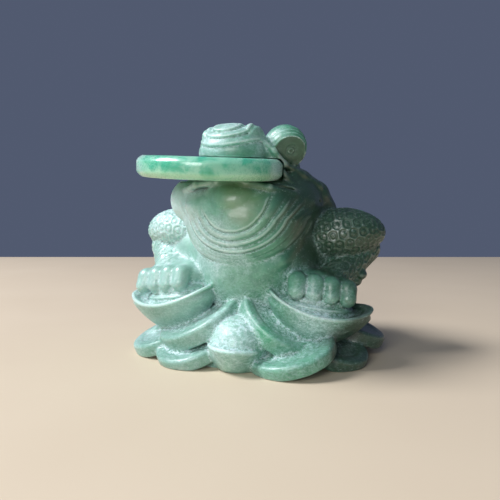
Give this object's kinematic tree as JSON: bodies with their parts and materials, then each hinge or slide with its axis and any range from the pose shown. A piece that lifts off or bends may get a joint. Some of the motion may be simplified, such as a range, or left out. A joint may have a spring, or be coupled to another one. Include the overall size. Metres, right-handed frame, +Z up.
{
  "type": "money toad figurine",
  "caption": "Carved green stone toad squatting on a heap of coins and boat-shaped ingots, holding a loose round coin in its mouth.",
  "frame": {"origin": "middle of the flat base, on the table", "axes": "+Z up, the toad looks along -Y, its left-hand side is +X"},
  "size_m": [0.0728, 0.0687, 0.0643],
  "materials": {
    "carved_jade": "polished green stone, matt and dusty in the grooves",
    "coin_jade": "polished translucent green stone"
  },
  "bodies": {
    "toad": {"toad_carving": "carved_jade"},
    "coin": {"mouth_coin": "coin_jade"}
  },
  "joints": [
    {"name": "coin_slide", "type": "slide", "parent": "toad", "child": "coin", "axis": [-0.1966, -0.9766, -0.0869], "range_m": [0, 0.045]}
  ]
}
